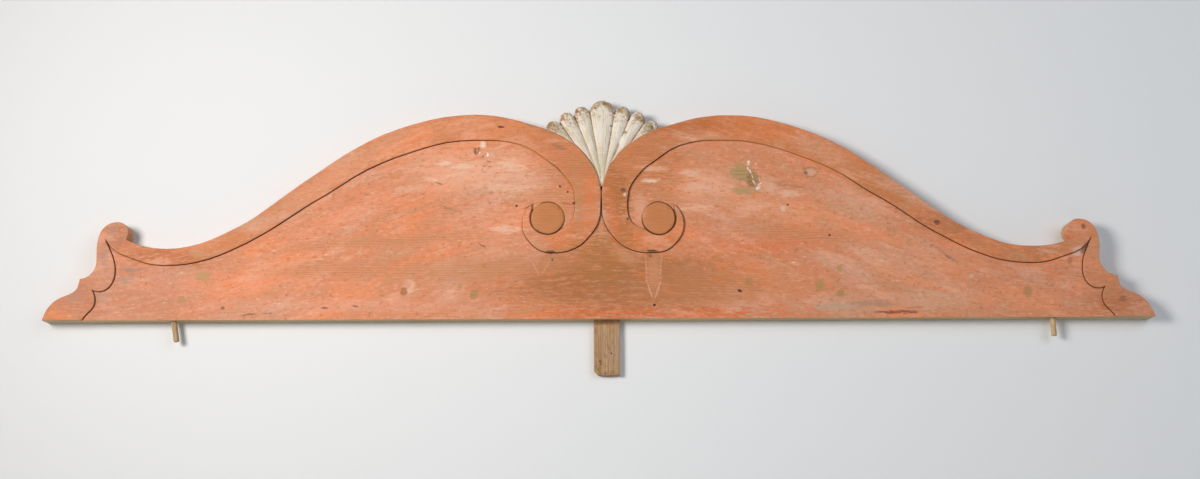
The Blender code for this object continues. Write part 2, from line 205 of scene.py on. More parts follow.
# Broad changes of colour in the paint
TONES = [
    Mark("salmon at the far left", 150, 285, 110, 60, 0, "CB8869", 0.75, 0.7, "cloudy"),
    Mark("orange flush on the left", 250, 282, 110, 18, 3, "EF946A", 0.7, 0.7, "cloudy"),
    Mark("orange flush above it", 350, 213, 90, 14, 25, "EC946C", 0.65, 0.7, "cloudy"),
    Mark("chalky bottom edge, left", 330, 305, 170, 10, 0, "E3A184", 0.6, 0.6, "cloudy"),
    Mark("chalky upper left field", 470, 172, 90, 34, -4, "EBB193", 0.7, 0.7, "cloudy"),
    Mark("chalky field above the left eye", 520, 182, 50, 28, -20, "E8B496", 0.6, 0.7, "streaky"),
    Mark("pink field left of the curl", 490, 225, 60, 30, 0, "E99F7D", 0.6, 0.7, "streaky"),
    Mark("chalky upper right field", 715, 185, 60, 26, 0, "E5AD8C", 0.6, 0.7, "cloudy"),
    Mark("orange inside the right scroll", 672, 168, 40, 12, 8, "DF8D62", 0.6, 0.6, "streaky"),
    Mark("orange on the right", 800, 212, 90, 20, -8, "E89A6F", 0.6, 0.7, "cloudy"),
    Mark("grey pink on the right", 905, 262, 90, 34, -12, "DCA27F", 0.45, 0.7, "cloudy"),
    Mark("dull low right", 850, 303, 60, 18, 0, "D19C7D", 0.75, 0.5, "cloudy"),
    Mark("orange far right", 1010, 298, 80, 18, 0, "E3956D", 0.65, 0.6, "cloudy"),
    Mark("orange right of the curl", 725, 250, 70, 14, 0, "DD8B60", 0.7, 0.6, "cloudy"),
    Mark("orange strip under the middle", 650, 312.5, 170, 9, 0, "DC6E36", 0.9, 0.5, "streaky"),
    Mark("red orange on the right", 770, 245, 80, 16, -3, "DE7B48", 0.7, 0.6, "cloudy"),
    Mark("tan streak on the right", 850, 205, 40, 8, 0, "C98A58", 0.6, 0.6, "streaky"),
    Mark("orange low left of the middle", 520, 302, 40, 16, 0, "DD8A60", 0.6, 0.6, "streaky"),
    Mark("crest of the left scroll", 485, 126, 60, 14, -4, "E18E5F", 0.7, 0.6, "streaky"),
    Mark("orange curl on the left", 562, 241, 32, 14, 30, "DE7C46", 0.85, 0.6, "streaky"),
    Mark("orange curl on the right", 650, 241, 38, 13, 0, "DE7C42", 0.85, 0.6, "streaky"),
    Mark("orange band, right scroll", 765, 130, 70, 14, -10, "DC7C44", 0.75, 0.6, "streaky"),
    Mark("pink band, right slope", 822, 150, 40, 14, -33, "DE9C78", 0.7, 0.6, "streaky"),
    Mark("pink band, left slope", 350, 166, 110, 18, 33, "E09874", 0.7, 0.6, "cloudy"),
    Mark("grey pink left foot", 100, 262, 22, 50, 10, "CF9178", 0.7, 0.6, "streaky"),
    Mark("dull left toe", 80, 300, 42, 22, -30, "BE8064", 0.75, 0.6, "rough"),
    Mark("dull left knob", 118, 236, 18, 20, 0, "B27656", 0.75, 0.5, "rough"),
    Mark("orange band, left end", 168, 257, 60, 13, -6, "BE6E3E", 0.85, 0.5, "torn"),
    Mark("chalky low right", 930, 299, 60, 18, 0, "D9A586", 0.7, 0.6, "cloudy"),
    Mark("grey pink right slope", 855, 203, 60, 22, -25, "DBA384", 0.65, 0.6, "cloudy"),
    Mark("brown right scroll", 622, 216, 16, 34, 10, "BC6E36", 0.8, 0.5, "torn"),
    Mark("brown band, right slope", 880, 188, 45, 14, -33, "C67A44", 0.7, 0.6, "streaky"),
    Mark("brown band low on the right", 945, 227, 45, 12, -20, "B36A42", 0.7, 0.6, "streaky"),
    Mark("dull band by the right knob", 1038, 251, 34, 13, 5, "B8764A", 0.7, 0.5, "torn"),
    Mark("orange right toe", 1118, 302, 44, 22, 0, "BE6C3A", 0.75, 0.6, "rough"),
    Mark("yellow brown crest, left scroll", 440, 128, 50, 13, 12, "E39468", 0.6, 0.6, "streaky"),
    Mark("grey pink right foot", 1085, 255, 22, 44, 0, "D9926E", 0.6, 0.6, "streaky"),
]

# Where the knife lines hold little dust and show the wood; at the crests, the left scroll's inner
# side and the eyes' left sides the colour is also a painted highlight, lighter than the wood, where
# the step faces the light
KNIFE_LINE_WOOD_AND_HIGHLIGHTS = [
    Mark("right crest", 775, 142, 150, 52, -12, "C89A50", 0.9, 0.4, "rough"),
    Mark("left crest, inner side", 525, 150, 56, 18, -22, "C89A50", 0.9, 0.5, "rough"),
    Mark("left scroll, inner side", 572, 195, 24, 55, 0, "BE9650", 0.9, 0.4, "rough"),
    Mark("left slope", 330, 205, 60, 22, 33, "8E6C3E", 0.8, 0.5, "rough"),
    Mark("left foot", 110, 270, 80, 70, 0, "6E5430", 0.85, 0.3, "rough"),
    Mark("right foot", 1100, 285, 26, 60, 0, "7C5A3C", 0.85, 0.4, "rough"),
    Mark("left curl, outer side", 522, 225, 8, 26, 0, "A67450", 0.7, 0.5, "rough"),
    Mark("right curl, lower left side", 620, 232, 14, 24, 30, "8A6440", 0.7, 0.5, "rough"),
    Mark("left eye, upper left", 530, 207, 14, 22, -30, "CC9460", 0.9, 0.4, "rough"),
    Mark("left eye, lower left", 532, 224, 10, 16, 20, "CC9460", 0.9, 0.4, "rough"),
    Mark("right eye, upper left", 639, 209, 12, 20, -30, "C48E5C", 0.85, 0.4, "rough"),
]

# The marks that are seen one by one
SPOTS = [
    Mark("bare patch, upper lobe", 741, 172, 15, 15, 0, "B69162", 0.95, 0.15, "torn"),
    Mark("bare patch, right lobe", 754, 178, 9, 12, 25, "A47E52", 0.9, 0.2, "torn"),
    Mark("bare patch, lower lobe", 745, 190, 20, 6.5, 0, "B69468", 0.95, 0.2, "torn"),
    Mark("darker wood in the patch", 751, 181, 6, 9, 20, "86643F", 0.6, 0.5, "torn"),
    Mark("grain in the patch 1", 741, 170, 13, 0.8, 0, "94744C", 0.6, 0.5, "rough"),
    Mark("grain in the patch 2", 742, 174, 13, 0.8, 0, "94744C", 0.6, 0.5, "rough"),
    Mark("grain in the patch 3", 743, 178, 11, 0.8, 0, "94744C", 0.6, 0.5, "rough"),
    Mark("white fleck over the patch", 749, 162, 2.0, 3.6, 0, "E8DEC8", 0.85, 0.5, "rough"),
    Mark("white fleck 1", 748, 168, 1.0, 3.2, 15, "EBD9C4", 0.8, 0.5, "rough"),
    Mark("white fleck 2", 750.6, 170.5, 1.1, 3.2, 20, "F4E8DA", 0.85, 0.5, "rough"),
    Mark("white fleck 3", 752.5, 176, 0.9, 3.0, 10, "E9D8C4", 0.8, 0.5, "rough"),
    Mark("white fleck 4", 754, 181.5, 1.1, 4.4, 28, "E9D8C4", 0.85, 0.5, "rough"),
    Mark("white fleck 5", 760, 183.5, 4.0, 1.0, 42, "F4E8DA", 0.9, 0.5, "rough"),
    Mark("white fleck 6", 758.3, 187.5, 3.4, 2.2, 10, "F4E8DA", 0.9, 0.5, "torn"),
    Mark("white fleck 7", 759.5, 178.5, 0.9, 3.2, 5, "E0CBB0", 0.7, 0.5, "rough"),
    Mark("pale fleck beside them", 756, 163, 1.6, 1.6, 0, "DCC9B0", 0.7, 0.5, "rough"),
    Mark("brown scratches right of it", 785, 184, 34, 3, -10, "B87350", 0.6, 0.5, "streaky"),
    Mark("orange strip, left scroll", 589, 212, 10, 46, -6, "DF7C48", 0.6, 0.6, "torn"),
    Mark("tan strip, left scroll", 578.5, 200, 5, 42, 4, "BE8A5E", 0.5, 0.6, "torn"),
    Mark("orange strip, right scroll", 612, 216, 8, 40, 8, "DC7440", 0.5, 0.6, "torn"),
    Mark("pale scrapes right of the patch", 789, 193, 18, 5, 0, "EBC1A4", 0.55, 0.5, "torn"),
    Mark("ring mark, rim", 811, 171, 11, 8, 0, "96755A", 0.65, 0.2, "rough"),
    Mark("ring mark, inside", 811.5, 171.2, 8.5, 5.8, 0, "DEA184", 0.95, 0.25, "rough"),
    Mark("ring mark, spot", 806, 172, 2.6, 2.2, 0, "6E4E3A", 0.7, 0.4, "rough"),
    Mark("nail hole under the right curl", 654.5, 304.5, 2.3, 2.1, 0, "35211A", 0.95, 0.3, "crisp"),
    Mark("nail hole on the right", 740, 290.5, 3.3, 2.2, -25, "3A241C", 0.95, 0.3, "rough"),
    Mark("chip under the left curl", 551.5, 252, 8, 2.0, 0, "54381F", 0.95, 0.25, "rough"),
    Mark("hole under the left chip", 552.3, 259.3, 1.6, 2.6, 0, "6E5140", 0.8, 0.3, "crisp"),
    Mark("chip under the right curl", 652.5, 251, 8, 2.0, 0, "54381F", 0.95, 0.25, "rough"),
    Mark("hole under the right chip", 650.5, 255.5, 2.6, 2.4, 0, "5E4838", 0.85, 0.3, "rough"),
    Mark("run of paint, middle", 654, 272, 10, 26, 0, "D8946C", 0.55, 0.5, "rough"),
    Mark("run of paint, upper left side", 646.3, 266, 19, 1.1, 93, "E8AA8C", 0.38, 0.6, "rough"),
    Mark("run of paint, lower left side", 649.7, 289, 17, 1.1, 109, "EDB498", 0.5, 0.6, "rough"),
    Mark("run of paint, upper right side", 661, 266, 19, 1.1, 86, "E8AA8C", 0.38, 0.6, "rough"),
    Mark("run of paint, lower right side", 658, 289, 17, 1.1, 71, "EDB498", 0.5, 0.6, "rough"),
    Mark("older run, left side", 535, 267, 12, 1.1, 118, "E2A284", 0.4, 0.6, "rough"),
    Mark("older run, right side", 545.5, 267, 12, 1.1, 62, "E2A284", 0.4, 0.6, "rough"),
    Mark("pale smear left of the run", 625, 256, 18, 8, -35, "D39B75", 0.45, 0.6, "torn"),
    Mark("tan spot", 820, 285, 7.5, 8, 0, "B58A56", 0.85, 0.3, "rough"),
    Mark("small tan spot", 840, 267.5, 4.4, 5, 0, "B98C5A", 0.8, 0.3, "rough"),
    Mark("olive spot", 841, 293, 6.5, 5.5, 0, "B5854E", 0.85, 0.3, "rough"),
    Mark("tan spot by the nail hole", 749, 281, 6.5, 8, 10, "B08250", 0.7, 0.4, "rough"),
    Mark("tan spot far right", 1028.5, 291, 6.5, 7.5, 0, "AE8250", 0.8, 0.4, "rough"),
    Mark("pale speck on the right", 783, 208, 4, 4, 0, "DCC0A6", 0.7, 0.4, "rough"),
    Mark("dry cracks low right", 872, 303, 36, 5, 2, "B18468", 0.7, 0.5, "streaky"),
    Mark("grey dust low right", 838, 306, 30, 5, 0, "BFA088", 0.6, 0.5, "streaky"),
    Mark("pale spot far right", 972, 275.5, 3, 3, 0, "C6B79B", 0.8, 0.4, "crisp"),
    Mark("tan patch far left", 202, 275.5, 11, 7, 5, "BE9260", 0.85, 0.3, "rough"),
    Mark("tan spot far left", 181, 300, 7, 6, 0, "BE8656", 0.7, 0.4, "rough"),
    Mark("brown dot far left", 222, 307.5, 3, 2.6, 0, "8E5B38", 0.8, 0.35, "crisp"),
    Mark("thin paint on the left band", 198, 253.5, 13, 6, -12, "C79467", 0.6, 0.4, "torn"),
    Mark("pale rim of the knot", 408, 287, 9, 11, -20, "E8B89C", 0.75, 0.4, "rough"),
    Mark("paint inside the rim", 407, 285, 5.5, 6, 0, "D99270", 0.7, 0.4, "rough"),
    Mark("knot", 403.5, 291, 5.5, 6.5, 10, "A9683C", 0.85, 0.3, "rough"),
    Mark("tan spot left of the middle", 473.5, 294, 7, 8, -30, "B08250", 0.75, 0.35, "rough"),
    Mark("small tan spot left", 459.5, 286, 4, 4, 0, "B8864F", 0.65, 0.4, "rough"),
    Mark("faint tan spot", 388, 279, 7, 5, 0, "C99467", 0.45, 0.5, "rough"),
    Mark("cream drip", 483, 143.8, 4.2, 5.6, 0, "EAD6BE", 0.85, 0.5, "rough"),
    Mark("cream fleck", 487.4, 154, 1.5, 2.8, 0, "F6ECE2", 0.9, 0.4, "rough"),
    Mark("cream edge by the drip", 479.6, 152, 1.2, 2.4, 10, "F0DCC6", 0.8, 0.4, "rough"),
    Mark("dark chip by the drip", 475.3, 151, 2.2, 5.6, 8, "6B5034", 0.85, 0.5, "rough"),
    Mark("dark chip beside it", 478.4, 149.5, 1.6, 5.0, -8, "6B5034", 0.8, 0.5, "rough"),
    Mark("brown dot under the drip", 482.8, 156, 1.8, 1.8, 0, "8A6848", 0.75, 0.4, "rough"),
    Mark("brown crack 1", 489, 161, 4.0, 1.8, -10, "A97C50", 0.8, 0.4, "rough"),
    Mark("brown crack 2", 489.5, 166, 4.4, 1.2, 0, "A97C50", 0.75, 0.4, "rough"),
    Mark("brown crack 3", 484, 165.3, 3.6, 1.6, 12, "B0875A", 0.8, 0.4, "rough"),
    Mark("brown crack 4", 481.8, 169.6, 1.4, 3.4, 10, "B78F66", 0.75, 0.4, "rough"),
    Mark("brown crack 5", 484.5, 171.5, 4.4, 1.3, 0, "BE9670", 0.7, 0.4, "rough"),
    Mark("pale scrape 1", 444, 162.5, 13, 3.6, 0, "ECC3A6", 0.8, 0.35, "torn"),
    Mark("pale scrape 2", 463, 166, 18, 3, 4, "ECC3A6", 0.8, 0.35, "streaky"),
    Mark("pale scrape 3", 456, 174, 20, 3, 12, "EAB999", 0.7, 0.35, "streaky"),
    Mark("pale scrape 4", 432, 179, 9, 2.4, -8, "EBC1A4", 0.7, 0.35, "torn"),
    Mark("pale scrape 5", 410, 188, 22, 6, 5, "E6AE90", 0.55, 0.4, "streaky"),
    Mark("pale scrape 6", 512, 165, 20, 8, -8, "EDBFA2", 0.6, 0.4, "streaky"),
    Mark("pale scrape 7", 500, 187, 34, 6, 0, "E9B799", 0.6, 0.4, "streaky"),
    Mark("pale scrape 8", 506, 229, 22, 6, -4, "EFC0A6", 0.65, 0.35, "streaky"),
    Mark("pale scrape 9", 652, 168, 20, 4, 0, "E2B191", 0.7, 0.35, "streaky"),
    Mark("pale scrape 10", 650, 180, 13, 3.4, 0, "EACBB0", 0.8, 0.35, "torn"),
    Mark("pale scrape 11", 690, 172, 16, 5, 0, "E7B89B", 0.7, 0.35, "streaky"),
    Mark("pale scrape 12", 700, 187, 24, 6, 0, "E6B396", 0.6, 0.4, "streaky"),
    Mark("pale scrape 13", 694, 207, 28, 5, 0, "EAB797", 0.6, 0.4, "streaky"),
    Mark("pale scrape 14", 640, 205, 9, 18, 0, "E2AC8E", 0.5, 0.4, "torn"),
    Mark("pale scrape 15", 755, 205, 24, 8, 0, "E7AF8F", 0.5, 0.4, "streaky"),
    Mark("brown streak", 395, 176, 22, 3, 8, "C57F55", 0.5, 0.5, "streaky"),
    Mark("dark streak on the left crest", 501, 127, 5.5, 1.8, -12, "4C3328", 0.85, 0.3, "rough"),
    Mark("grey streak on the left scroll", 560, 146, 16, 3, -28, "8D6B55", 0.5, 0.5, "streaky"),
    Mark("dark edge of the left scroll", 535, 125, 28, 5, -25, "A67552", 0.6, 0.5, "streaky"),
    Mark("dark ring on the right scroll", 623.5, 190, 3.6, 3.4, 0, "5C4038", 0.8, 0.4, "rough"),
    Mark("white dot on the right scroll", 624.7, 194.7, 2.2, 2.4, 0, "D8CBC0", 0.85, 0.4, "crisp"),
    Mark("dot at the right scroll's edge", 627.6, 218.8, 2, 2.4, 40, "5A3526", 0.8, 0.4, "crisp"),
    Mark("speck 1", 516.4, 205.2, 1.9, 2.2, 0, "4C3329", 0.85, 0.3, "crisp"),
    Mark("speck 2", 560, 185.8, 2, 2.6, 30, "5C4133", 0.8, 0.3, "crisp"),
    Mark("speck 3", 567.6, 191.2, 1.8, 2, 0, "5C4133", 0.85, 0.3, "crisp"),
    Mark("speck 4", 574, 202.3, 2.8, 2.2, 0, "4C3329", 0.85, 0.3, "rough"),
    Mark("speck 5", 830, 234.5, 1.9, 1.9, 0, "4C3329", 0.85, 0.3, "crisp"),
    Mark("speck 6", 788, 204, 1.9, 1.9, 0, "5C3E30", 0.85, 0.3, "crisp"),
    Mark("scratch by the left eye", 528, 206, 10, 1.3, 27, "6B4A3A", 0.75, 0.35, "torn"),
    Mark("scratch right of the left eye", 567, 203, 9, 0.9, -8, "7A5644", 0.65, 0.35, "rough"),
    Mark("scratch on the left field", 439, 183, 6, 1.3, -20, "8A6048", 0.7, 0.4, "rough"),
    Mark("long scratch on the left field", 449, 208, 14, 1.0, -22, "8E6650", 0.6, 0.4, "torn"),
    Mark("scratch under the long one", 482, 245, 6, 1.1, -22, "6B4A3A", 0.7, 0.35, "rough"),
    Mark("dash low left 1", 247, 314, 11, 1.3, 3, "6F5343", 0.7, 0.35, "torn"),
    Mark("dash low left 2", 268, 313, 8, 1.2, 0, "7C5E4C", 0.55, 0.35, "torn"),
    Mark("dash low left 3", 324.5, 307.5, 6, 1.5, -4, "5C463A", 0.7, 0.35, "rough"),
    Mark("dash low left 4", 355, 306, 4.5, 1.4, -8, "5C463A", 0.7, 0.35, "rough"),
    Mark("grey smudge 1", 130, 269, 14, 3.2, -10, "8F7A70", 0.6, 0.5, "streaky"),
    Mark("grey smudge 2", 126, 279, 12, 6, 20, "A3887A", 0.55, 0.6, "streaky"),
    Mark("grey smudge 3", 104, 297, 10, 8, 0, "A88C7C", 0.5, 0.6, "torn"),
    Mark("grey smudge 4", 104, 256, 6, 12, 10, "A58578", 0.55, 0.6, "torn"),
    Mark("grey smudge 5", 113, 231, 8, 7, 0, "B48A76", 0.5, 0.6, "torn"),
    Mark("grey smudge 6", 70, 301, 16, 4, 25, "B08573", 0.45, 0.6, "streaky"),
    Mark("dark knot on the right band", 937.4, 222, 5, 3.6, 25, "65402F", 0.8, 0.4, "rough"),
    Mark("brown spot on the right knob", 1083.6, 226.5, 3.4, 4.4, 0, "874D35", 0.75, 0.45, "rough"),
    Mark("brown spot on the right toe", 1123, 298.5, 5.5, 4, 20, "8C5A3D", 0.65, 0.5, "rough"),
    Mark("scratches on the right 1", 940, 250, 22, 1.2, -35, "9A7060", 0.55, 0.4, "streaky"),
    Mark("scratches on the right 2", 950, 257, 10, 1.3, -33, "7E5A4A", 0.6, 0.4, "torn"),
    Mark("scratches on the right 3", 925, 240, 18, 1.2, -30, "A67A64", 0.5, 0.4, "streaky"),
    Mark("scratches on the right 4", 1003, 275, 14, 1.5, -18, "B08E76", 0.5, 0.4, "torn"),
    Mark("red streak low right", 898, 311.5, 28, 2.6, 0, "8C4734", 0.85, 0.4, "torn"),
    Mark("red streak beside it", 915, 307, 14, 1.6, 4, "B87055", 0.5, 0.5, "streaky"),
    Mark("white marks by the right foot", 1079, 251, 8, 6, 30, "DDBBA6", 0.75, 0.4, "torn"),
    Mark("brown marks by the right foot", 1071, 260, 4, 6, -20, "A56647", 0.65, 0.4, "rough"),
    Mark("brown gap over the right foot", 1085, 248, 4, 9, -25, "7E5034", 0.7, 0.4, "rough"),
    Mark("pale smudge right of the patch", 768, 186, 12, 10, 0, "E3AF90", 0.5, 0.5, "torn"),
]

# The batten's stains and nail holes, and painted shade at its top under the board
BATTEN_SPOTS = [
    # Painted shade where the batten meets the board's underside
    Mark("painted shade under the board", 606.5, 320.5, 30, 3.5, 0, "8B6240", 0.85, 0.4, "torn"),
    Mark("stain at the foot", 612, 374, 14, 6, 0, "9A6D45", 0.6, 0.6, "torn"),
    Mark("nail hole 1", 600, 359.5, 1.5, 1.5, 0, "4A3524", 0.9, 0.3, "crisp"),
    Mark("nail hole 2", 601, 362, 1.2, 1.8, 0, "5A4230", 0.8, 0.3, "crisp"),
    Mark("nail hole 3", 611.5, 351.5, 1.5, 1.5, 0, "4A3524", 0.9, 0.3, "crisp"),
    Mark("nail hole 4", 615, 352.5, 1.1, 1.1, 0, "5A4230", 0.8, 0.3, "crisp"),
    Mark("dark fleck", 598, 368, 1.2, 2.6, 0, "6A4C34", 0.7, 0.4, "crisp"),
    Mark("dark fleck lower down", 605.5, 371.5, 1.6, 1.4, 0, "6A4C34", 0.7, 0.4, "crisp"),
    Mark("stain on the left", 596, 328, 3, 5, 0, "9A744E", 0.5, 0.5, "rough"),
    Mark("stain lower left", 596, 363, 3, 6, 0, "9A744E", 0.5, 0.5, "rough"),
    Mark("pink right side", 616, 345, 4, 40, 0, "B8937A", 0.5, 0.6, "rough"),
]

# The shell's bare tips, holes and dull or clean ribs, and painted shade down the right sides of
# three ribs
FAN_SPOTS = [
    Mark("clean middle rib", 602, 111, 10, 10, 0, "E7DCCB", 0.9, 0.4, "rough"),
    Mark("mottled first rib", 555, 127, 9, 7, -40, "A48560", 0.6, 0.6, "torn"),
    Mark("brown tip, first rib", 549.5, 124.5, 3, 4, 0, "9A6A40", 0.7, 0.5, "rough"),
    Mark("brown tip, second rib", 562, 118, 3.6, 3, 40, "A9683C", 0.75, 0.4, "rough"),
    Mark("brown tip, third rib", 577, 110, 2.8, 3.6, -20, "94562C", 0.85, 0.4, "rough"),
    Mark("dark spot, middle rib", 595, 107, 2.4, 2, 0, "6B4A28", 0.9, 0.35, "rough"),
    Mark("brown spot, middle rib's top", 603.5, 103, 2.4, 2.4, 0, "8F6A3E", 0.8, 0.4, "rough"),
    # Painted shade on the middle rib's right shoulder
    Mark("painted shade, middle rib's right shoulder", 610, 108, 3, 6, 30, "B89B76", 0.6, 0.5, "rough"),
    Mark("dot beside the middle rib", 611, 125, 1.7, 1.5, 0, "5E5140", 0.85, 0.4, "crisp"),
    Mark("brown tip, fifth rib", 620, 110, 4.4, 3, 30, "A98652", 0.75, 0.5, "rough"),
    # Painted shade on the fifth rib's right edge
    Mark("painted shade, fifth rib's right edge", 629, 112, 2.4, 6, -20, "A5855C", 0.6, 0.5, "rough"),
    Mark("brown tip, sixth rib", 638, 117, 6, 4, -30, "9B7B54", 0.7, 0.5, "torn"),
    Mark("mottled last rib", 648, 127, 8, 7, 40, "8F7A58", 0.65, 0.6, "torn"),
    # Painted shade on the last rib's right edge
    Mark("painted shade, last rib's right edge", 652, 126, 2.4, 5, 0, "5E4C34", 0.7, 0.5, "rough"),
    Mark("hole, sixth rib", 625, 131.5, 3, 2.6, 40, "8A6E42", 0.8, 0.4, "rough"),
    Mark("brown foot", 601.5, 189, 7, 9, 0, "846B48", 0.9, 0.5, "rough"),
    Mark("dull lower ribs", 601, 163, 18, 22, 0, "CBBD9C", 0.65, 0.7, "rough"),
    Mark("tan third rib", 586, 138, 6, 22, -21, "D8C8AC", 0.6, 0.7, "rough"),
    Mark("tan first rib", 563, 134, 8, 20, -45, "B59C74", 0.6, 0.7, "torn"),
    Mark("clean fifth rib", 619, 136, 5, 20, 21, "EFE6D8", 0.8, 0.6, "rough"),
    Mark("olive last rib", 645, 131, 14, 6, 42, "A4926E", 0.5, 0.7, "torn"),
]


def worn_places(tree, place):
    """For each kind of edge, the place moved about by noise, and the share scraping leaves."""
    worn = {}
    scrapes = drawn_out(tree, place, 13, 2.6, 6.0, 0.72, start=21.0)
    for name, edge in EDGES.items():
        drift = drawn_out(tree, place, edge.long, edge.high, 5.0, 0.66, "Color", edge.start)
        drift = add_node(tree, "VectorMath", {0: drift, 1: (0.5,) * 3}, operation="SUBTRACT")
        reach = (edge.along / 1000, 0, edge.across / 1000)
        moved = add_node(
            tree, "VectorMath", {0: drift, 1: reach, 2: place}, operation="MULTIPLY_ADD"
        )
        share = {0: scrapes, 1: -edge.broken, 2: 1 + 0.5 * edge.broken}
        worn[name] = moved, add_node(tree, "Math", share, operation="MULTIPLY_ADD")
    return worn


def depth_inside(tree, worn, mark):
    """How deep inside a mark each place lies: MARK_EDGE where its edge begins, 1 in its middle."""
    centre = at_photo(mark.across, mark.down)
    outside = (1 + mark.soft) / (1 - MARK_EDGE)
    moved, share = worn[mark.edge]
    local = add_node(
        tree,
        "Mapping",
        {
            "Vector": moved,
            "Location": (centre.x, 0, centre.z),
            "Rotation": (0, -math.radians(mark.turn), 0),
            "Scale": (mark.wide * outside / 1000, 10, mark.high * outside / 1000),
        },
        vector_type="TEXTURE",
    )
    inside = add_node(tree, "TexGradient", {0: local}, "Fac", gradient_type="SPHERICAL")
    return add_node(tree, "Math", {0: inside, 1: share}, operation="MULTIPLY")


def full_depth(mark):
    """How deep inside a mark its soft edge ends."""
    return 1 - (1 - MARK_EDGE) * (1 - mark.soft) / (1 + mark.soft)


def coated(tree, colour, over, pattern, start, full, most=1.0):
    """Lays a colour over another, easing in as the pattern goes from start to full."""
    easing = {"Value": pattern, "From Min": start, "From Max": full, "To Max": most}
    share = add_node(tree, "MapRange", easing, interpolation_type="SMOOTHSTEP")
    over = linear(over) if isinstance(over, str) else over
    coat = {MIX_FACTOR: share, MIX_UNDER: colour, MIX_OVER: over}
    return add_node(tree, "Mix", coat, MIX_COLOUR, data_type="RGBA")


def marked(tree, colour, worn, mark):
    """Lays one mark over the colour."""
    inside = depth_inside(tree, worn, mark)
    return coated(tree, colour, mark.colour, inside, MARK_EDGE, full_depth(mark), mark.strength)


def drawn_out(tree, place, long, high, detail, roughness=0.55, output="Fac", start=0.0):
    """Noise drawn out along the grain, from the length and height of its features in mm."""
    scale = (1000 / long, 1000 / high, 1000 / high)
    local = add_node(
        tree, "Mapping", {"Vector": place, "Location": (start, 0, 0), "Scale": scale}
    )
    values = {"Vector": local, "Scale": 1.0, "Detail": detail, "Roughness": roughness}
    return add_node(tree, "TexNoise", values, output)


def growth_rings(tree, place, pitch):
    """The close lines of slow-grown pine, from their pitch in mm, running along the board."""
    bend = drawn_out(tree, place, 260, 60, 3.0, 0.5, "Color", 5.0)
    # The bend moves the lines by about one pitch up and down along the board
    moved = add_node(
        tree,
        "VectorMath",
        {0: bend, 1: (0, 0, pitch / 1000 * 6), 2: place},
        operation="MULTIPLY_ADD",
    )
    # A wave texture's bands repeat every pi / 10 divided by its scale
    scale = math.pi / 10 / (pitch / 1000)
    values = {"Vector": moved, "Scale": scale, "Distortion": 0.0}
    return add_node(tree, "TexWave", values, "Fac", bands_direction="Z")


def bare_wood(tree, place, light, middle, dark):
    """The pine itself: its colour, streaked and flecked, and its fibres, drawn 2.4 mm high."""
    fibres = drawn_out(tree, place, 120, 2.4, 4.0, 0.65, start=2.0)
    clouds = drawn_out(tree, place, 180, 22, 3.0, start=8.0)
    flecks = drawn_out(tree, place, 9, 3.2, 4.0, 0.7, start=14.0)
    colour = coated(tree, linear(middle), light, clouds, 0.35, 0.65)
    colour = coated(tree, colour, dark, fibres, 0.54, 0.34, 0.8)
    return coated(tree, colour, dark, flecks, 0.48, 0.32, 0.7), fibres


